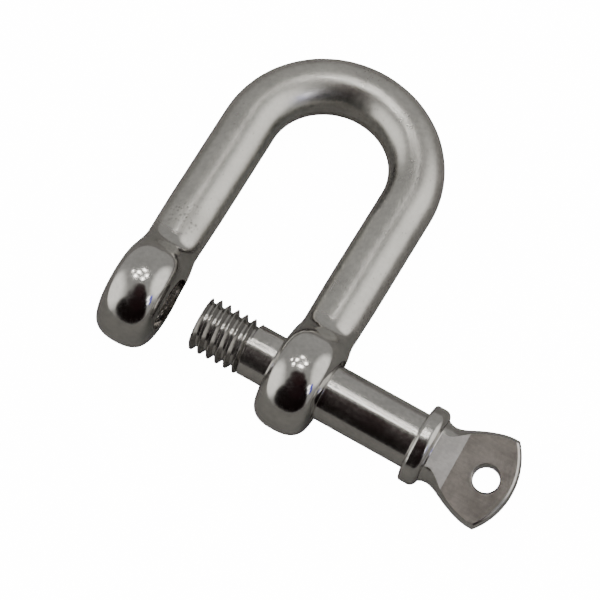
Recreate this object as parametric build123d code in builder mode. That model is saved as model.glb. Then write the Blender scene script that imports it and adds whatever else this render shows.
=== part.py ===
from build123d import *
from math import asin, cos, radians, sin, tan
import os

# A screw pin D shackle, lying flat. X runs along the pin, with its head at +X, and Y runs from the
# pin to the crown. The origin is on the pin's axis, midway between the legs. Millimetres.

# Shackle body
rod_diameter = 6.0
leg_gap = 12.7  # clear gap between the straight legs, where they leave the crown
inside_length = 28.9  # from the pin's axis to the inside of the crown
left_leg_lean = 0.6  # degrees, inwards
eye_diameter = 11.5
eye_width = 5.95
eye_rim_radius = 2.2
eye_drop = 0.3  # of the eye's round outline below the pin's axis
leg_inset = 0.13  # of each leg from the faces of its eye
leg_taper_start = 10.5  # above the pin's axis
leg_taper_end = 2.0
bore_edge_radius = 0.25

# Screw pin
shank_diameter = 6.1
pin_withdrawn = 10.2  # from the closed position, where the collar meets the plain eye
tip_stand_out = 0.43  # of the closed pin, past the outer face of the threaded eye
neck_undersize = 0.48  # on the shank's diameter
neck_length = 4.6
shank_step = 0.3
collar_height = 1.2  # above the shank
collar_width = 2.1
collar_face_lean = 0.25
collar_left_radius = 0.35
collar_right_radius = 0.8

# Flat head of the pin, with offsets from the collar's right face
head_root_diameter = 6.9
head_waist_diameter = 6.4
head_waist_offset = 0.85
head_flare_diameter = 7.75
head_flare_offset = 2.8
head_shoulder_diameter = 9.4
head_shoulder_offset = 4.8
head_corner_diameter = 10.1
head_corner_offset = 7.2
head_end_offset = 9.05
head_thickness = 4.1
head_crease_offset = 2.6
head_ramp_offset = 0.12
head_ramp_angle = 17.0
head_turn = 19.5  # of the flats about the pin's axis
lashing_hole_diameter = 2.75
lashing_hole_offset = 6.05
lashing_hole_chamfer = 0.18

# Screw thread, with a 60 degree profile
thread_undersize = 0.16  # on the shank's diameter
thread_depth = 0.58
thread_pitch = 1.0
thread_length = 5.7
thread_flank_angle = 30.0
thread_mid_height = 0.235  # above the root, where ridge and groove are equally wide
thread_mouth_chamfer = 0.45
flank_points = 7  # along each flank of the thread's cross-section
full_turn = 360.0
right_angle = 90.0

# Clearances, each on the radius or on the face
shank_clearance = 0.28
thread_crest_clearance = 0.05
thread_root_clearance = 0.08
thread_flank_clearance = 0.075
recess_clearance = 0.1
recess_end_clearance = 0.1
collar_bore_clearance = 0.02
collar_end_clearance = 0.03
overrun = 2.0  # of a cut past the surface that it opens

# The body's centre line
rod_radius = rod_diameter / 2
leg_offset = leg_gap / 2 + rod_radius
crown_centre_y = inside_length - leg_gap / 2
left_leg_length = (crown_centre_y - leg_offset * sin(radians(left_leg_lean))) / cos(radians(left_leg_lean))
left_eye_x = left_leg_length * sin(radians(left_leg_lean)) - leg_offset * cos(radians(left_leg_lean))
right_eye_x = leg_offset
left_eye_outer_x = left_eye_x - eye_width / 2
left_eye_inner_x = left_eye_x + eye_width / 2
right_eye_inner_x = right_eye_x - eye_width / 2
right_eye_outer_x = right_eye_x + eye_width / 2
leg_neck_radius = eye_width / 2 - leg_inset

# The pin's diameters
neck_diameter = shank_diameter - neck_undersize
collar_diameter = shank_diameter + 2 * collar_height
thread_diameter = shank_diameter - thread_undersize
thread_root_diameter = thread_diameter - 2 * thread_depth

# The pin, along its axis
tip_x = left_eye_outer_x - tip_stand_out + pin_withdrawn
thread_end_x = tip_x + thread_length
shank_start_x = thread_end_x + neck_length
collar_left_x = right_eye_outer_x + pin_withdrawn
collar_right_x = collar_left_x + collar_width
stub_end_x = collar_right_x + collar_end_clearance
head_corner_x = collar_right_x + head_corner_offset
head_end_x = collar_right_x + head_end_offset
crease_x = collar_right_x + head_crease_offset
ramp_start_x = collar_right_x + head_ramp_offset
ramp_start_height = head_thickness / 2 + (crease_x - ramp_start_x) * tan(radians(head_ramp_angle))
lashing_hole_x = collar_right_x + lashing_hole_offset

# Radii that follow from the sizes
thread_radius = thread_diameter / 2
bore_radius = shank_diameter / 2 + shank_clearance
plain_mouth_radius = bore_radius + bore_edge_radius
flank_radius = thread_root_diameter / 2 + thread_mid_height
tapped_crest_radius = thread_radius + thread_crest_clearance
tapped_root_radius = thread_root_diameter / 2 + thread_root_clearance
tapped_flank_radius = flank_radius + thread_flank_clearance
collar_bore_radius = shank_diameter / 2 + collar_bore_clearance
head_corner_radius = head_corner_diameter / 2
dome_height = head_end_x - head_corner_x
dome_radius = (head_corner_radius**2 + dome_height**2) / (2 * dome_height)
dome_half_angle = asin(head_corner_radius / dome_radius) / 2
dome_middle_x = head_end_x - dome_radius * (1 - cos(dome_half_angle))
dome_middle_y = dome_radius * sin(dome_half_angle)

# The ends of the threaded bore. The inner one is recessed, to take the neck of the closed pin.
outer_mouth_radius = tapped_root_radius + thread_mouth_chamfer
recess_radius = tapped_crest_radius + recess_clearance
recess_end_x = min(thread_end_x - pin_withdrawn, left_eye_inner_x) - recess_end_clearance

head_side = Plane.XZ.rotated((head_turn, 0, 0))
head_face = Plane.XY.rotated((head_turn, 0, 0))
os.makedirs("parts", exist_ok=True)


def threaded_rod(first_turn, last_turn, root_radius, crest_radius, mid_radius):
    # A rod on the pin's axis with one ridge wound on it, which is half a pitch wide at mid_radius.
    # Its cross-section, a round with one wide hump, turns once in each pitch as it goes along. The
    # turns are counted from the tip of the pin, so that any two such rods are in step.
    start_x = tip_x + first_turn * thread_pitch
    length = (last_turn - first_turn) * thread_pitch
    side_slope = tan(radians(thread_flank_angle)) / thread_pitch

    def half_hump(radius):
        return full_turn * (1 / 4 + side_slope * (mid_radius - radius))

    def flank(side):
        points = []
        for step in range(flank_points):
            radius = crest_radius + (root_radius - crest_radius) * step / (flank_points - 1)
            turn = radians(side * half_hump(radius))
            points.append((radius * cos(turn), radius * sin(turn)))
        return points

    crest_half = half_hump(crest_radius)
    root_half = half_hump(root_radius)
    with BuildPart() as rod:
        with BuildLine() as middle:
            Line((start_x, 0, 0), (start_x + length, 0, 0))
        with BuildLine() as winding:
            Helix(thread_pitch, length, mid_radius, center=(start_x, 0, 0), direction=(1, 0, 0))
        outward = winding.line @ 0 - middle.line @ 0
        with BuildSketch(Plane(origin=middle.line @ 0, x_dir=outward, z_dir=(1, 0, 0))):
            with BuildLine():
                CenterArc((0, 0), crest_radius, -crest_half, 2 * crest_half)
                Spline(*flank(1))
                CenterArc((0, 0), root_radius, root_half, full_turn - 2 * root_half)
                Spline(*flank(-1))
            make_face()
        sweep(path=middle.line, binormal=winding.edge())
    return rod.part


# The pin's thread, and the tap that cuts its mate and is a turn longer at both ends
pin_thread = threaded_rod(
    0,
    thread_length / thread_pitch,
    thread_root_diameter / 2,
    thread_radius,
    flank_radius,
)
tap = threaded_rod(
    (left_eye_outer_x - tip_x) // thread_pitch - 1,
    (left_eye_inner_x - tip_x) // thread_pitch + 2,
    tapped_root_radius,
    tapped_crest_radius,
    tapped_flank_radius,
)

# The shackle body: a bent rod, with an eye forged at each end
with BuildPart() as shackle_body:
    with BuildLine() as bend:
        right_leg = Line((leg_offset, leg_taper_start), (leg_offset, crown_centre_y))
        crown = JernArc(right_leg @ 1, right_leg % 1, leg_offset, full_turn / 2 + left_leg_lean)
        left_leg = PolarLine(crown @ 1, left_leg_length - leg_taper_start, direction=crown % 1)
    with BuildSketch(Plane(origin=right_leg @ 0, z_dir=right_leg % 0)):
        Circle(rod_radius)
    sweep(path=bend.line)

    # Each leg narrows a little towards its eye
    for leg_end, towards_eye in ((right_leg @ 0, right_leg % 0 * -1), (left_leg @ 1, left_leg % 1)):
        with BuildSketch(Plane(origin=leg_end, z_dir=towards_eye)):
            Circle(rod_radius)
        neck_end = leg_end + towards_eye * (leg_taper_start - leg_taper_end)
        with BuildSketch(Plane(origin=neck_end, z_dir=towards_eye)):
            Circle(leg_neck_radius)
        loft()

    # The eyes, round in outline and with a full rim
    for eye_x in (left_eye_x, right_eye_x):
        with BuildSketch(Plane.XY) as eye_profile:
            with Locations((eye_x, -eye_drop)):
                Rectangle(eye_width, eye_diameter / 2, align=(Align.CENTER, Align.MIN))
            fillet(eye_profile.vertices().group_by(Axis.Y)[-1], eye_rim_radius)
        revolve(axis=Axis((0, -eye_drop, 0), (1, 0, 0)))

    # The plain bore, flared to softened edges
    with BuildSketch(Plane.XY):
        with BuildLine():
            bore_wall = Line(
                (right_eye_inner_x + bore_edge_radius, bore_radius),
                (right_eye_outer_x - bore_edge_radius, bore_radius),
            )
            JernArc(bore_wall @ 1, (1, 0), bore_edge_radius, right_angle)
            Polyline(
                (right_eye_outer_x, plain_mouth_radius),
                (right_eye_outer_x + overrun, plain_mouth_radius),
                (right_eye_outer_x + overrun, 0),
                (right_eye_inner_x - overrun, 0),
                (right_eye_inner_x - overrun, plain_mouth_radius),
                (right_eye_inner_x, plain_mouth_radius),
            )
            JernArc((right_eye_inner_x, plain_mouth_radius), (0, -1), bore_edge_radius, right_angle)
        make_face()
    revolve(axis=Axis.X, mode=Mode.SUBTRACT)

    # The threaded bore: a recess for the neck of the closed pin, the thread, and a chamfered mouth
    with BuildSketch(Plane.YZ.offset(recess_end_x)):
        Circle(recess_radius)
    extrude(amount=left_eye_inner_x - recess_end_x + overrun, mode=Mode.SUBTRACT)
    add(tap, mode=Mode.SUBTRACT)
    with BuildSketch(Plane.XY):
        with BuildLine():
            Polyline(
                (left_eye_outer_x - overrun, 0),
                (left_eye_outer_x - overrun, outer_mouth_radius),
                (left_eye_outer_x, outer_mouth_radius),
                (left_eye_outer_x + outer_mouth_radius, 0),
                close=True,
            )
        make_face()
    revolve(axis=Axis.X, mode=Mode.SUBTRACT)

shackle_body.part.label = "shackle_body"
export_step(shackle_body.part, "parts/shackle_body.step")

# The screw pin: thread, neck, shank, the stub inside the collar, and the flat head
with BuildPart() as screw_pin:
    add(pin_thread)

    # The turned shape from the neck to the end of the head
    with BuildSketch(Plane.XY):
        with BuildLine():
            Polyline(
                (head_end_x, 0),
                (thread_end_x, 0),
                (thread_end_x, neck_diameter / 2),
                (shank_start_x, neck_diameter / 2),
                (shank_start_x + shank_step, shank_diameter / 2),
                (stub_end_x, shank_diameter / 2),
                (stub_end_x, head_root_diameter / 2),
            )
            Spline(
                (stub_end_x, head_root_diameter / 2),
                (collar_right_x + head_waist_offset, head_waist_diameter / 2),
                (collar_right_x + head_flare_offset, head_flare_diameter / 2),
                (collar_right_x + head_shoulder_offset, head_shoulder_diameter / 2),
                (head_corner_x, head_corner_radius),
            )
            ThreePointArc(
                (head_corner_x, head_corner_radius),
                (dome_middle_x, dome_middle_y),
                (head_end_x, 0),
            )
        make_face()
    revolve(axis=Axis.X)

    # The two flats of the head, each with its ramp up to the collar
    with BuildSketch(head_side):
        with BuildLine():
            Polyline(
                (ramp_start_x, ramp_start_height),
                (crease_x, head_thickness / 2),
                (head_end_x + overrun, head_thickness / 2),
                (head_end_x + overrun, head_corner_diameter),
                (ramp_start_x, head_corner_diameter),
                close=True,
            )
        make_face()
        mirror(about=Plane.XZ)
    extrude(amount=head_corner_diameter, both=True, mode=Mode.SUBTRACT)

    # The lashing hole, with a small chamfer at each mouth
    with BuildSketch(head_face):
        with Locations((lashing_hole_x, 0)):
            Circle(lashing_hole_diameter / 2)
    extrude(amount=head_thickness, both=True, mode=Mode.SUBTRACT)
    flats = screw_pin.faces().filter_by(GeomType.PLANE).filter_by(head_face)
    chamfer(flats.edges().filter_by(GeomType.CIRCLE), lashing_hole_chamfer)

screw_pin.part.label = "screw_pin"
export_step(screw_pin.part, "parts/screw_pin.step")

# The collar, a ring on the pin's stub
with BuildPart() as pin_collar:
    with BuildSketch(Plane.XY) as ring:
        with BuildLine():
            Polyline(
                (collar_left_x, collar_bore_radius),
                (collar_left_x + collar_face_lean, collar_diameter / 2),
                (collar_right_x, collar_diameter / 2),
                (collar_right_x, collar_bore_radius),
                close=True,
            )
        make_face()
        rim = ring.vertices().group_by(Axis.Y)[-1].sort_by(Axis.X)
        fillet(rim[0], collar_left_radius)
        rim = ring.vertices().sort_by(Axis.X)[-2:].sort_by(Axis.Y)
        fillet(rim[-1], collar_right_radius)
    revolve(axis=Axis.X)

pin_collar.part.label = "pin_collar"
export_step(pin_collar.part, "parts/pin_collar.step")
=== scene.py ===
import math
import bmesh
import bpy
import numpy as np
from mathutils import Matrix, Vector


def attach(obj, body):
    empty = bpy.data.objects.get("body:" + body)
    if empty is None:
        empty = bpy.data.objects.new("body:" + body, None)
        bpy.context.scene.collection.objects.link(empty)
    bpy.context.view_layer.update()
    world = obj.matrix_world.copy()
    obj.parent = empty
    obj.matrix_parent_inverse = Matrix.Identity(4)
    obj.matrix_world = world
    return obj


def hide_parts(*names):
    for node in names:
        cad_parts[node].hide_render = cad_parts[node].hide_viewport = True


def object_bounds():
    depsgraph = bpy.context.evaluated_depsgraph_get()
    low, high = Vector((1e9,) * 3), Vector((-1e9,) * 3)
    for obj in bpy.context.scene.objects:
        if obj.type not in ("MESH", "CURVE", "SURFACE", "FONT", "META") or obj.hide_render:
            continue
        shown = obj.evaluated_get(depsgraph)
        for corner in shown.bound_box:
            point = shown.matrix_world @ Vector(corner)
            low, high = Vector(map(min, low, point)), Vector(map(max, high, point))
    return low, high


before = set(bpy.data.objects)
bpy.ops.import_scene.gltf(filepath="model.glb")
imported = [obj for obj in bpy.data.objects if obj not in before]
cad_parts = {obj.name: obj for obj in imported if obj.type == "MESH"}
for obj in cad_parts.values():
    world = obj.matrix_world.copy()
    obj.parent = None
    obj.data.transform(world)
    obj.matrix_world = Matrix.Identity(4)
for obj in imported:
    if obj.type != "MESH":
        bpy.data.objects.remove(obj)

# A screw pin D shackle in stainless steel, lying flat with its pin drawn out of the threaded eye.
# X runs along the pin towards its head, Y from the pin to the crown, Z up. Metres.
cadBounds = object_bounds()
mm = 0.001
print("stage: frame loaded")

# nodes and groups

def addNode(tree, kind, inputs=None, **settings):
    made = tree.nodes.new(kind)
    for name, value in settings.items():
        setattr(made, name, value)
    for socket, value in (inputs or {}).items():
        if isinstance(value, bpy.types.NodeSocket):
            tree.links.new(value, made.inputs[socket])
        else:
            made.inputs[socket].default_value = value
    return made


def maths(tree, operation, first, second=None, clamp=False):
    inputs = {0: first} if second is None else {0: first, 1: second}
    return addNode(tree, "ShaderNodeMath", inputs, operation=operation, use_clamp=clamp).outputs[0]


def rangeOf(tree, value, fromLow, fromHigh, toLow=0.0, toHigh=1.0):
    inputs = {
        "Value": value, "From Min": fromLow, "From Max": fromHigh, "To Min": toLow, "To Max": toHigh}
    return addNode(tree, "ShaderNodeMapRange", inputs, interpolation_type="SMOOTHSTEP").outputs["Result"]


def dotWith(tree, vector, direction):
    inputs = {0: vector, 1: direction}
    return addNode(tree, "ShaderNodeVectorMath", inputs, operation="DOT_PRODUCT").outputs["Value"]


def mixColour(tree, factor, first, second, blend="MIX"):
    inputs = {0: factor, 6: first, 7: second}
    return addNode(tree, "ShaderNodeMix", inputs, data_type="RGBA", blend_type=blend).outputs[2]


def shaded(tree, colour, shade):
    grey = addNode(tree, "ShaderNodeCombineColor", {"Red": shade, "Green": shade, "Blue": shade})
    return mixColour(tree, 1.0, colour, grey.outputs["Color"], "MULTIPLY")


def startGroup(name, inputs, outputs):
    tree = bpy.data.node_groups.new(name, "ShaderNodeTree")
    for label, kind, value in inputs:
        socket = tree.interface.new_socket(name=label, in_out="INPUT", socket_type=kind)
        if value is not None:
            socket.default_value = value
    for label in outputs:
        tree.interface.new_socket(name=label, in_out="OUTPUT", socket_type="NodeSocketFloat")
    entry = tree.nodes.new("NodeGroupInput")
    return tree, entry.outputs, tree.nodes.new("NodeGroupOutput").inputs


def useGroup(tree, group, inputs):
    return addNode(tree, "ShaderNodeGroup", inputs, node_tree=group).outputs


def makePits():
    # small round pits, a share of the cells of a random pattern
    tree, given, out = startGroup("steelPits", [
        ("Vector", "NodeSocketVector", None),
        ("Per Metre", "NodeSocketFloat", 2600.0),
        ("Share", "NodeSocketFloat", 0.4),
        ("Width", "NodeSocketFloat", 0.3),
    ], ["Pit"])
    cells = addNode(tree, "ShaderNodeTexVoronoi", {
        "Vector": given["Vector"], "Scale": given["Per Metre"]})
    pick = addNode(tree, "ShaderNodeSeparateColor", {"Color": cells.outputs["Color"]}).outputs["Red"]
    kept = maths(tree, "LESS_THAN", pick, given["Share"])
    size = maths(tree, "MULTIPLY", given["Width"], maths(tree, "ADD", 0.4, pick))
    share = maths(tree, "DIVIDE", cells.outputs["Distance"], size)
    near = maths(tree, "SUBTRACT", 1.0, share, clamp=True)
    tree.links.new(maths(tree, "MULTIPLY", kept, near), out["Pit"])
    return tree


def makeTone():
    # slow cloudy change of tone, with a finer one on top
    tree, given, out = startGroup("steelTone", [
        ("Vector", "NodeSocketVector", None),
        ("Per Metre", "NodeSocketFloat", 250.0),
        ("Fine", "NodeSocketFloat", 0.35),
    ], ["Tone"])
    slow = addNode(tree, "ShaderNodeTexNoise", {
        "Vector": given["Vector"], "Scale": given["Per Metre"], "Detail": 4.0, "Roughness": 0.6})
    fineScale = maths(tree, "MULTIPLY", given["Per Metre"], 9.0)
    fine = addNode(tree, "ShaderNodeTexNoise", {
        "Vector": given["Vector"], "Scale": fineScale, "Detail": 2.0})
    fineShare = maths(tree, "MULTIPLY", fine.outputs["Fac"], given["Fine"])
    both = maths(tree, "ADD", slow.outputs["Fac"], fineShare)
    total = maths(tree, "ADD", 1.0, given["Fine"])
    tree.links.new(maths(tree, "DIVIDE", both, total), out["Tone"])
    return tree


def makeLines():
    # fine tool lines across one direction: the vector comes in already stretched
    tree, given, out = startGroup("toolLines", [
        ("Vector", "NodeSocketVector", None),
        ("Per Metre", "NodeSocketFloat", 5000.0),
        ("Contrast", "NodeSocketFloat", 0.5),
    ], ["Line"])
    noise = addNode(tree, "ShaderNodeTexNoise", {
        "Vector": given["Vector"], "Scale": given["Per Metre"], "Detail": 5.0, "Roughness": 0.7})
    low = maths(tree, "SUBTRACT", 0.5, maths(tree, "MULTIPLY", given["Contrast"], 0.5))
    high = maths(tree, "ADD", 0.5, maths(tree, "MULTIPLY", given["Contrast"], 0.5))
    inputs = {"Value": noise.outputs["Fac"], "From Min": low, "From Max": high}
    line = addNode(tree, "ShaderNodeMapRange", inputs).outputs["Result"]
    tree.links.new(line, out["Line"])
    return tree


pits = makePits()
tone = makeTone()
lines = makeLines()


def startMaterial(name):
    material = bpy.data.materials.new(name)
    material.use_nodes = True
    tree = material.node_tree
    tree.nodes.clear()
    shader = addNode(tree, "ShaderNodeBsdfPrincipled", {"Metallic": 1.0})
    addNode(tree, "ShaderNodeOutputMaterial", {"Surface": shader.outputs["BSDF"]})
    place = addNode(tree, "ShaderNodeTexCoord").outputs["Object"]
    return material, tree, shader, place


def stretched(tree, place, scale):
    return addNode(tree, "ShaderNodeMapping", {"Vector": place, "Scale": scale}).outputs["Vector"]


def finish(tree, shader, colour, roughness, height, depth):
    bump = addNode(tree, "ShaderNodeBump", {"Height": height, "Distance": depth})
    tree.links.new(colour, shader.inputs["Base Color"])
    tree.links.new(roughness, shader.inputs["Roughness"])
    tree.links.new(bump.outputs["Normal"], shader.inputs["Normal"])


# the shackle body: polished eyes, satin bar with fine pits
bodyLook = {
    "polished": (0.62, 0.61, 0.59, 1), "satin": (0.62, 0.61, 0.58, 1), "pit": (0.09, 0.085, 0.08, 1),
    "bore": (0.60, 0.58, 0.56, 1), "eyeRoughness": 0.10, "barRoughness": 0.27,
    "skinOnBar": 0.7, "skinRoughness": 0.07,
    "polishEnd": 5.4 * mm, "satinStart": 7.4 * mm, "boreRadius": 3.3 * mm,
    "patchPlace": (-9.0 * mm, 8.2 * mm, 2.4 * mm), "patchRadius": 2.6 * mm,
}


def makeBodySteel():
    look = bodyLook
    material, tree, shader, place = startMaterial("bodySteel")
    fromAxis = addNode(tree, "ShaderNodeVectorMath", {0: place, 1: (0, 1, 1)}, operation="MULTIPLY")
    length = addNode(tree, "ShaderNodeVectorMath", {0: fromAxis.outputs[0]}, operation="LENGTH")
    radius = length.outputs["Value"]
    onBar = rangeOf(tree, radius, look["polishEnd"], look["satinStart"])
    inBore = rangeOf(tree, radius, look["boreRadius"], look["boreRadius"] - 0.1 * mm)
    toPatch = addNode(tree, "ShaderNodeVectorMath", {0: place, 1: look["patchPlace"]}, operation="DISTANCE")
    patch = rangeOf(tree, toPatch.outputs["Value"], look["patchRadius"], 0.3 * look["patchRadius"])

    cloud = useGroup(tree, tone, {"Vector": place, "Per Metre": 220.0, "Fine": 0.5})["Tone"]
    finePits = useGroup(tree, pits, {
        "Vector": place, "Per Metre": 3000.0, "Share": 0.22, "Width": 0.34})["Pit"]
    patchPits = useGroup(tree, pits, {
        "Vector": place, "Per Metre": 2600.0, "Share": 0.85, "Width": 0.5})["Pit"]
    onlyPatch = maths(tree, "MULTIPLY", patchPits, patch)
    allPits = maths(tree, "MAXIMUM", maths(tree, "MULTIPLY", finePits, onBar), onlyPatch)
    drawn = useGroup(tree, lines, {
        "Vector": stretched(tree, place, (1.0, 0.08, 1.0)), "Per Metre": 4200.0, "Contrast": 0.6})["Line"]

    metal = mixColour(tree, onBar, look["polished"], look["satin"])
    shade = rangeOf(tree, cloud, 0.3, 0.7, 0.84, 1.08)
    toned = shaded(tree, metal, shade)
    pitted = mixColour(tree, maths(tree, "MULTIPLY", allPits, 0.8), toned, look["pit"])
    colour = mixColour(tree, inBore, pitted, look["bore"])

    cloudRough = rangeOf(tree, cloud, 0.3, 0.7, -0.03, 0.05)
    lineRough = maths(tree, "MULTIPLY", maths(tree, "MULTIPLY", drawn, onBar), 0.06)
    base = rangeOf(tree, radius, look["polishEnd"], look["satinStart"],
                   look["eyeRoughness"], look["barRoughness"])
    roughness = maths(tree, "ADD", maths(tree, "ADD", base, cloudRough), lineRough)
    roughness = maths(tree, "ADD", roughness, maths(tree, "MULTIPLY", patch, 0.15), clamp=True)

    drawnHeight = maths(tree, "MULTIPLY", maths(tree, "MULTIPLY", drawn, onBar), 0.12)
    cloudHeight = maths(tree, "MULTIPLY", cloud, 0.35)
    height = maths(tree, "SUBTRACT", maths(tree, "ADD", drawnHeight, cloudHeight), allPits)
    finish(tree, shader, colour, roughness, height, 0.02 * mm)
    tree.links.new(maths(tree, "MULTIPLY", onBar, look["skinOnBar"]), shader.inputs["Coat Weight"])
    shader.inputs["Coat Roughness"].default_value = look["skinRoughness"]
    return material


# the pin: turned shank and thread, satin flats with fine scratches
pinLook = {
    "shank": (0.60, 0.59, 0.57, 1), "thread": (0.52, 0.51, 0.495, 1), "flat": (0.46, 0.43, 0.405, 1),
    "ramp": (0.66, 0.64, 0.62, 1), "shankRoughness": 0.17, "threadRoughness": 0.17,
    "flatRoughness": 0.36,
    "threadEnd": 3.4 * mm, "headStart": 24.7 * mm, "crease": 27.225 * mm, "halfThickness": 2.05 * mm,
    "rampSlope": math.tan(math.radians(17)), "headTurn": math.radians(19.5),
}


def makePinSteel():
    look = pinLook
    material, tree, shader, place = startMaterial("pinSteel")
    along = dotWith(tree, place, (1, 0, 0))
    faceNormal = (0, -math.sin(look["headTurn"]), math.cos(look["headTurn"]))
    fromMiddle = maths(tree, "ABSOLUTE", dotWith(tree, place, faceNormal))
    beforeCrease = maths(tree, "MAXIMUM", maths(tree, "SUBTRACT", look["crease"], along), 0.0)
    rise = maths(tree, "MULTIPLY", beforeCrease, look["rampSlope"])
    surface = maths(tree, "ADD", rise, look["halfThickness"])
    onFace = rangeOf(tree, maths(tree, "SUBTRACT", fromMiddle, surface), -0.06 * mm, -0.02 * mm)
    onHead = rangeOf(tree, along, look["headStart"], look["headStart"] + 0.1 * mm)
    onFace = maths(tree, "MULTIPLY", onFace, onHead)
    onRamp = maths(tree, "MULTIPLY", onFace, maths(tree, "GREATER_THAN", beforeCrease, 0.01 * mm))
    onThread = rangeOf(tree, along, look["threadEnd"] + 0.1 * mm, look["threadEnd"])

    cloud = useGroup(tree, tone, {"Vector": place, "Per Metre": 300.0, "Fine": 0.6})["Tone"]
    turned = useGroup(tree, lines, {
        "Vector": stretched(tree, place, (1.0, 0.05, 0.05)), "Per Metre": 6500.0, "Contrast": 0.5})["Line"]
    scratched = useGroup(tree, lines, {
        "Vector": stretched(tree, place, (0.06, 1.0, 1.0)), "Per Metre": 5200.0, "Contrast": 0.45})["Line"]
    dots = useGroup(tree, pits, {"Vector": place, "Per Metre": 2200.0, "Share": 0.12, "Width": 0.25})["Pit"]

    metal = mixColour(tree, onThread, look["shank"], look["thread"])
    metal = mixColour(tree, onFace, metal, look["flat"])
    metal = mixColour(tree, onRamp, metal, look["ramp"])
    shade = rangeOf(tree, cloud, 0.3, 0.7, 0.86, 1.1)
    scratchShade = maths(tree, "MULTIPLY", maths(tree, "MULTIPLY", scratched, onFace), 0.14)
    shade = maths(tree, "SUBTRACT", shade, scratchShade)
    toned = shaded(tree, metal, shade)
    colour = mixColour(tree, maths(tree, "MULTIPLY", dots, 0.5), toned, (0.08, 0.075, 0.07, 1))

    roughness = rangeOf(tree, along, look["threadEnd"], look["threadEnd"] + 0.1 * mm,
                        look["threadRoughness"], look["shankRoughness"])
    faceRough = maths(tree, "MULTIPLY", onFace, look["flatRoughness"] - look["shankRoughness"])
    roughness = maths(tree, "ADD", roughness, faceRough)
    roughness = maths(tree, "ADD", roughness, rangeOf(tree, cloud, 0.3, 0.7, -0.03, 0.06), clamp=True)

    offFace = maths(tree, "SUBTRACT", maths(tree, "SUBTRACT", 1.0, onFace), onThread, clamp=True)
    turnedHeight = maths(tree, "MULTIPLY", maths(tree, "MULTIPLY", turned, offFace), 0.25)
    scratchHeight = maths(tree, "MULTIPLY", maths(tree, "MULTIPLY", scratched, onFace), 0.4)
    height = maths(tree, "SUBTRACT", maths(tree, "ADD", turnedHeight, scratchHeight), dots)
    finish(tree, shader, colour, roughness, height, 0.01 * mm)
    return material


bodySteel = makeBodySteel()

# the shackle body as one forged piece: the bar runs into each eye in a smooth blend
bar = {
    "radius": 3.0, "eyeNeck": 2.845, "taperStart": 10.5, "taperEnd": 2.0,
    "offset": 9.35, "crownY": 22.55,
    "lean": math.radians(0.6), "blend": 1.3, "grid": 0.2, "unevenness": 0.010,
    "roughRadius": 3.0, "around": 32, "legPoints": 12, "bendPoints": 24, "bendStart": 0.1,
    "sharpAngle": math.radians(35),
}  # millimetres
eye = {
    "radius": 5.75, "drop": 0.3, "half": 2.975, "crownDepth": 2.4, "fullness": 2.5,
    "leftX": -9.114, "rightX": 9.35, "plainBore": 3.33, "edge": 0.25,
    "roughRadius": 5.4, "roughAround": 64, "roughStations": 5, "boreAround": 160, "edgeSteps": 6,
}
tapped = {
    "outerX": -12.089, "innerX": -6.139, "tipX": -2.319, "pitch": 1.0,
    "root": 2.47, "crest": 3.02, "mid": 2.70, "mouth": 2.92, "recess": 2.89, "recessDepth": 0.8,
    "startTurn": 0.25, "perPitch": 22, "around": 120,
}


def barDistance(x, y, z):
    above = y > bar["crownY"]
    toArc = np.hypot(np.hypot(x, y - bar["crownY"]) - bar["offset"], z)
    toRight = np.hypot(np.hypot(x - bar["offset"], np.minimum(y - bar["taperEnd"], 0)), z)
    leanX = -bar["offset"] + np.sin(bar["lean"]) * (bar["crownY"] - y)
    toLeft = np.hypot(np.hypot(x - leanX, np.minimum(y - bar["taperEnd"], 0)), z)
    toLegs = np.minimum(toRight, toLeft)
    share = np.clip((y - bar["taperEnd"]) / (bar["taperStart"] - bar["taperEnd"]), 0, 1)
    radius = bar["eyeNeck"] + (bar["radius"] - bar["eyeNeck"]) * share
    return np.where(above, toArc, toLegs) - radius


def eyeDistance(x, y, z, middle):
    # flat at the sides, and an even dome round the rim
    out = np.hypot(y + eye["drop"], z)
    power = eye["fullness"]
    across = np.abs(x - middle) / eye["half"]
    up = np.maximum(out - (eye["radius"] - eye["crownDepth"]), 0) / eye["crownDepth"]
    reach = np.maximum((across**power + up**power) ** (1 / power), 1e-6)
    slopeAcross = (across / reach) ** (power - 1) / eye["half"]
    slopeUp = (up / reach) ** (power - 1) / eye["crownDepth"]
    return (reach - 1) / np.maximum(np.hypot(slopeAcross, slopeUp), 1e-6)


def smoothJoin(a, b, width):
    mix = np.maximum(width - np.abs(a - b), 0) / width
    return np.minimum(a, b) - mix * mix * width / 4


def bodyField(p):
    x, y, z = p[:, 0], p[:, 1], p[:, 2]
    value = barDistance(x, y, z)
    for middle in (eye["leftX"], eye["rightX"]):
        value = smoothJoin(value, eyeDistance(x, y, z, middle), bar["blend"])
    ripple = np.sin(1.9 * x + 0.7 * y) * np.sin(1.3 * y - 1.1 * z + 0.4) + np.sin(2.3 * z + 1.7 * x + 1.0)
    return value + bar["unevenness"] * (1 + 0.5 * ripple)


def settleOn(field, points, rounds=5, step=0.01, stride=0.3, leastSlope=0.2):
    # moves each point along the field's slope until the field is nought
    for _ in range(rounds):
        value = field(points)
        slope = np.stack([
            (field(points + offset) - field(points - offset)) / (2 * step)
            for offset in np.eye(3) * step
        ], 1)
        length = np.maximum((slope * slope).sum(1), leastSlope)
        points = points - np.clip(value / length, -stride, stride)[:, None] * slope
    return points


def meshObject(name, points, faces):
    mesh = bpy.data.meshes.new(name)
    mesh.from_pydata([tuple(p) for p in points], [], faces)
    mesh.validate()
    made = bpy.data.objects.new(name, mesh)
    bpy.context.collection.objects.link(made)
    return made


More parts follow.
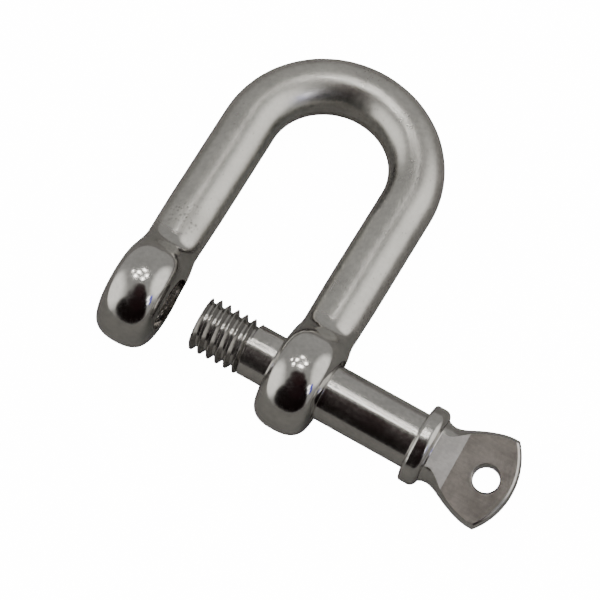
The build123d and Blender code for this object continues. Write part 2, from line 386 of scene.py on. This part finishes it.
def turnedFaces(rows, around):
    # side walls of a form with rows of points round an axis, and a cap at each end
    faces = []
    for row in range(rows - 1):
        for k in range(around):
            a, b = row * around + k, row * around + (k + 1) % around
            faces.append((a, b, b + around, a + around))
    faces.append(tuple(reversed(range(around))))
    faces.append(tuple(range((rows - 1) * around, rows * around)))
    return faces


def turnedForm(name, stations, radiusAt, around):
    # stations along X, and a radius for each station and angle
    angles = np.linspace(0, 2 * math.pi, around, endpoint=False)
    points = []
    for x in stations:
        radii = radiusAt(x, angles)
        points.append(np.stack([np.full(around, x), radii * np.cos(angles), radii * np.sin(angles)], 1))
    made = meshObject(name, np.concatenate(points) * mm, turnedFaces(len(stations), around))
    turnOut(made.data)
    return made


def turnOut(mesh):
    work = bmesh.new()
    work.from_mesh(mesh)
    bmesh.ops.remove_doubles(work, verts=work.verts, dist=1e-7)
    bmesh.ops.recalc_face_normals(work, faces=work.faces)
    work.to_mesh(mesh)
    work.free()


def threadRadius(x, angles, size):
    # the radius of a winding form: full on its ridge, at its root between two turns
    turn = (x - size["tipX"]) / size["pitch"] + size["startTurn"] - angles / (2 * math.pi)
    fromRidge = np.abs((turn + 0.5) % 1.0 - 0.5) * size["pitch"]
    flank = size["mid"] + (size["pitch"] / 4 - fromRidge) / math.tan(math.radians(30))
    return np.clip(flank, size["root"], size["crest"])


def tappedRadius(x, angles):
    radii = threadRadius(x, angles, tapped)
    if x > tapped["innerX"] - tapped["recessDepth"]:
        radii = np.maximum(radii, tapped["recess"])
    return np.maximum(radii, tapped["mouth"] - (x - tapped["outerX"]))


def applyModifiers(made, name):
    graph = bpy.context.evaluated_depsgraph_get()
    mesh = bpy.data.meshes.new_from_object(made.evaluated_get(graph))
    mesh.name = name
    made.modifiers.clear()
    made.data = mesh


def combine(made, other, operation):
    # joins the other form on, or cuts it out, and uses it up
    step = made.modifiers.new("combine", "BOOLEAN")
    step.operation = operation
    step.solver = "EXACT"
    step.object = other
    applyModifiers(made, made.name)
    bpy.data.objects.remove(other)


def barStations():
    # the middle line of the bar, from one eye round the crown to the other
    across, top, low = bar["offset"], bar["crownY"], bar["taperEnd"]
    legs = np.linspace(low, top, bar["legPoints"])
    right = [(across, y) for y in legs]
    turns = np.linspace(bar["bendStart"], math.pi - bar["bendStart"], bar["bendPoints"])
    bend = [(across * math.cos(a), top + across * math.sin(a)) for a in turns]
    left = [(-across + math.sin(bar["lean"]) * (top - y), y) for y in legs[::-1]]
    return right + bend + left


def barAlongPath():
    # a round tube along the middle line, by Geometry Nodes
    tree = bpy.data.node_groups.new("barAlongPath", "GeometryNodeTree")
    tree.interface.new_socket(name="Geometry", in_out="INPUT", socket_type="NodeSocketGeometry")
    sizes = {}
    for label, kind in (("Radius", "NodeSocketFloat"), ("Around", "NodeSocketInt")):
        sizes[label] = tree.interface.new_socket(name=label, in_out="INPUT", socket_type=kind)
    tree.interface.new_socket(name="Geometry", in_out="OUTPUT", socket_type="NodeSocketGeometry")
    given = tree.nodes.new("NodeGroupInput").outputs
    path = addNode(tree, "GeometryNodeMeshToCurve", {"Mesh": given["Geometry"]})
    ring = addNode(tree, "GeometryNodeCurvePrimitiveCircle", {
        "Resolution": given["Around"], "Radius": given["Radius"]})
    tube = addNode(tree, "GeometryNodeCurveToMesh", {
        "Curve": path.outputs["Curve"], "Profile Curve": ring.outputs["Curve"], "Fill Caps": True})
    real = addNode(tree, "GeometryNodeRealizeInstances", {"Geometry": tube.outputs["Mesh"]})
    steel = addNode(tree, "GeometryNodeSetMaterial", {"Geometry": real.outputs["Geometry"]})
    steel.inputs["Material"].default_value = bodySteel
    tree.links.new(steel.outputs["Geometry"], tree.nodes.new("NodeGroupOutput").inputs[0])

    route = [(x * mm, y * mm, 0) for x, y in barStations()]
    mesh = bpy.data.meshes.new("shackle_forging")
    mesh.from_pydata(route, [(k, k + 1) for k in range(len(route) - 1)], [])
    made = bpy.data.objects.new("shackle_forging", mesh)
    bpy.context.collection.objects.link(made)
    grow = made.modifiers.new("grow", "NODES")
    grow.node_group = tree
    grow[sizes["Radius"].identifier] = bar["roughRadius"] * mm
    grow[sizes["Around"].identifier] = bar["around"]
    applyModifiers(made, made.name)
    turnOut(made.data)
    return made


def roughRadius(x, angles):
    return np.full(len(angles), eye["roughRadius"])


def makeBody():
    rough = barAlongPath()
    disc = np.linspace(-eye["half"], eye["half"], eye["roughStations"])
    for middle in (eye["leftX"], eye["rightX"]):
        form = turnedForm("eyeForm", middle + disc, roughRadius, eye["roughAround"])
        form.data.transform(Matrix.Translation((0, -eye["drop"] * mm, 0)))
        combine(rough, form, "UNION")
    even = rough.modifiers.new("even", "REMESH")
    even.mode = "VOXEL"
    even.voxel_size = bar["grid"] * mm
    applyModifiers(rough, rough.name)
    mesh = rough.data
    places = np.empty(len(mesh.vertices) * 3)
    mesh.vertices.foreach_get("co", places)
    settled = settleOn(bodyField, places.reshape(-1, 3) / mm) * mm
    settled = np.clip(settled, np.array(cadBounds[0]), np.array(cadBounds[1]))
    mesh.vertices.foreach_set("co", settled.ravel())
    mesh.update()

    steps = int((tapped["innerX"] - tapped["outerX"] + 2) / tapped["pitch"] * tapped["perPitch"])
    stations = np.linspace(tapped["outerX"] - 1, tapped["innerX"] + 1, steps)
    combine(rough, turnedForm("tap", stations, tappedRadius, tapped["around"]), "DIFFERENCE")
    inner, outer = eye["rightX"] - eye["half"], eye["rightX"] + eye["half"]

    def plainRadius(x, angles):
        # a quarter round at each mouth
        short = min(max(eye["edge"] - min(x - inner, outer - x), 0), eye["edge"])
        flare = eye["edge"] - math.sqrt(eye["edge"] ** 2 - short ** 2)
        return np.full(len(angles), eye["plainBore"] + flare)

    edge = np.linspace(0, eye["edge"], eye["edgeSteps"])
    stations = np.concatenate([
        [inner - 1], inner + edge, [eye["rightX"]], (outer - edge)[::-1], [outer + 1]])
    combine(rough, turnedForm("drill", stations, plainRadius, eye["boreAround"]), "DIFFERENCE")
    rough.data.polygons.foreach_set("use_smooth", [True] * len(rough.data.polygons))
    rough.data.set_sharp_from_angle(angle=bar["sharpAngle"])
    rough.data.materials.clear()
    rough.data.materials.append(bodySteel)
    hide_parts("shackle_body")
    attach(rough, "body")
    return rough


def wear(node, material):
    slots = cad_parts[node].data.materials
    slots.clear()
    slots.append(material)


pinSteel = makePinSteel()
wear("screw_pin", pinSteel)
wear("pin_collar", pinSteel)
body = makeBody()
print("stage: body made,", len(body.data.polygons), "faces")

# camera
shot = {
    "place": Vector((0.04207, -0.11195, 0.26585)), "target": Vector((0.005059, 0.00746, 0.0)),
    "roll": math.radians(13.18), "lens": 172.27, "sensor": 36.0,
}
backward = (shot["place"] - shot["target"]).normalized()
level = Vector((0, 0, 1)).cross(backward).normalized()
rightward = Matrix.Rotation(shot["roll"], 3, backward) @ level
upward = backward.cross(rightward)


def makeCamera():
    data = bpy.data.cameras.new("camera")
    data.lens = shot["lens"]
    data.sensor_width = shot["sensor"]
    data.clip_start = 0.01
    camera = bpy.data.objects.new("camera", data)
    turn = Matrix((rightward, upward, backward)).transposed()
    camera.matrix_world = Matrix.Translation(shot["place"]) @ turn.to_4x4()
    bpy.context.collection.objects.link(camera)
    bpy.context.scene.camera = camera


makeCamera()

# floor: touches both eyes and the crown
floorLook = {"eyeBottom": -5.75 * mm, "crownBottom": -3.0 * mm, "crownY": 31.9 * mm, "half": 0.6,
             "gap": 0.02 * mm, "shown": (0.93, 0.93, 0.925, 1), "seen": (0.30, 0.295, 0.285, 1), "glow": 16.0}


def makeFloor():
    look = floorLook
    slope = (look["crownBottom"] - look["eyeBottom"]) / look["crownY"]
    heights = [look["eyeBottom"] - look["gap"] + y * slope for y in (-look["half"], look["half"])]
    corners = [(-look["half"], -look["half"], heights[0]), (look["half"], -look["half"], heights[0]),
               (look["half"], look["half"], heights[1]), (-look["half"], look["half"], heights[1])]
    mesh = bpy.data.meshes.new("floor")
    mesh.from_pydata(corners, [], [(0, 1, 2, 3)])
    floor = bpy.data.objects.new("floor", mesh)
    bpy.context.collection.objects.link(floor)
    material = bpy.data.materials.new("paleFloor")
    material.use_nodes = True
    tree = material.node_tree
    tree.nodes.clear()
    shown = addNode(tree, "ShaderNodeBsdfDiffuse", {"Color": look["shown"]})
    glow = addNode(tree, "ShaderNodeEmission", {"Color": look["shown"], "Strength": look["glow"]})
    bright = addNode(tree, "ShaderNodeAddShader", {0: shown.outputs[0], 1: glow.outputs[0]})
    seen = addNode(tree, "ShaderNodeBsdfDiffuse", {"Color": look["seen"]})
    toCamera = addNode(tree, "ShaderNodeLightPath").outputs["Is Camera Ray"]
    both = addNode(tree, "ShaderNodeMixShader", {0: toCamera, 1: seen.outputs[0], 2: bright.outputs[0]})
    addNode(tree, "ShaderNodeOutputMaterial", {"Surface": both.outputs[0]})
    mesh.materials.append(material)


makeFloor()

# light: a grey room with soft bright and dark areas round the camera's side
room = {"grey": (0.40, 0.395, 0.38, 1), "strength": 1.0}
# across and up: degrees from the camera's direction; size and soft: degrees
areas = [
    ("softLeft", -64, 14, 20, 22, (1.5, 1.47, 1.4, 1)),
    ("softRight", 60, 16, 20, 20, (1.5, 1.47, 1.4, 1)),
    ("deskEdge", 0, -62, 26, 10, (0.10, 0.085, 0.08, 1)),
    ("darkBody", -8, -44, 35, 6, (0.006, 0.003, 0.003, 1)),
    ("darkShoulders", -4, -14, 21, 6, (0.014, 0.006, 0.007, 1)),
    ("darkHead", -3, 6, 11, 5, (0.03, 0.014, 0.015, 1)),
    ("sparkleA", -9, 33, 1.9, 0.8, (16, 15.6, 15, 1)),
    ("sparkleB", 2, 29, 1.8, 0.8, (16, 15.6, 15, 1)),
    ("sparkleC", 10, 36, 2.0, 0.8, (15, 14.6, 14, 1)),
    ("sparkleD", -2, 41, 2.0, 0.8, (15, 14.6, 14, 1)),
    ("sparkleE", 7, 47, 1.6, 0.8, (12, 11.6, 11, 1)),
    ("sparkleF", -14, 44, 1.5, 0.8, (12, 11.6, 11, 1)),
    ("whiteSliver", 30, -22, 3.4, 2, (5, 5, 5, 1)),
    ("whiteSliverLow", 33, -34, 3.4, 2, (4, 4, 4.2, 1)),
    ("blueSliver", 39, -26, 4.4, 2.5, (0.16, 0.15, 0.95, 1)),
    ("blueSliverLow", 40, -38, 4.0, 2.5, (0.12, 0.11, 0.7, 1)),
]


def makeLight():
    world = bpy.data.worlds.new("room")
    bpy.context.scene.world = world
    world.use_nodes = True
    tree = world.node_tree
    tree.nodes.clear()
    outward = addNode(tree, "ShaderNodeTexCoord").outputs["Generated"]
    colour = room["grey"]
    for name, across, up, size, soft, tint in areas:
        a = math.radians(across)
        b = math.radians(up)
        direction = backward * (math.cos(a) * math.cos(b)) + rightward * math.sin(a)
        direction += upward * (math.cos(a) * math.sin(b))
        near = dotWith(tree, outward, direction)
        inside = math.cos(math.radians(size))
        outside = math.cos(math.radians(size + soft))
        colour = mixColour(tree, rangeOf(tree, near, outside, inside), colour, tint)
    light = addNode(tree, "ShaderNodeBackground", {"Color": colour, "Strength": room["strength"]})
    addNode(tree, "ShaderNodeOutputWorld", {"Surface": light.outputs[0]})


makeLight()
print("stage: camera, floor and light made")
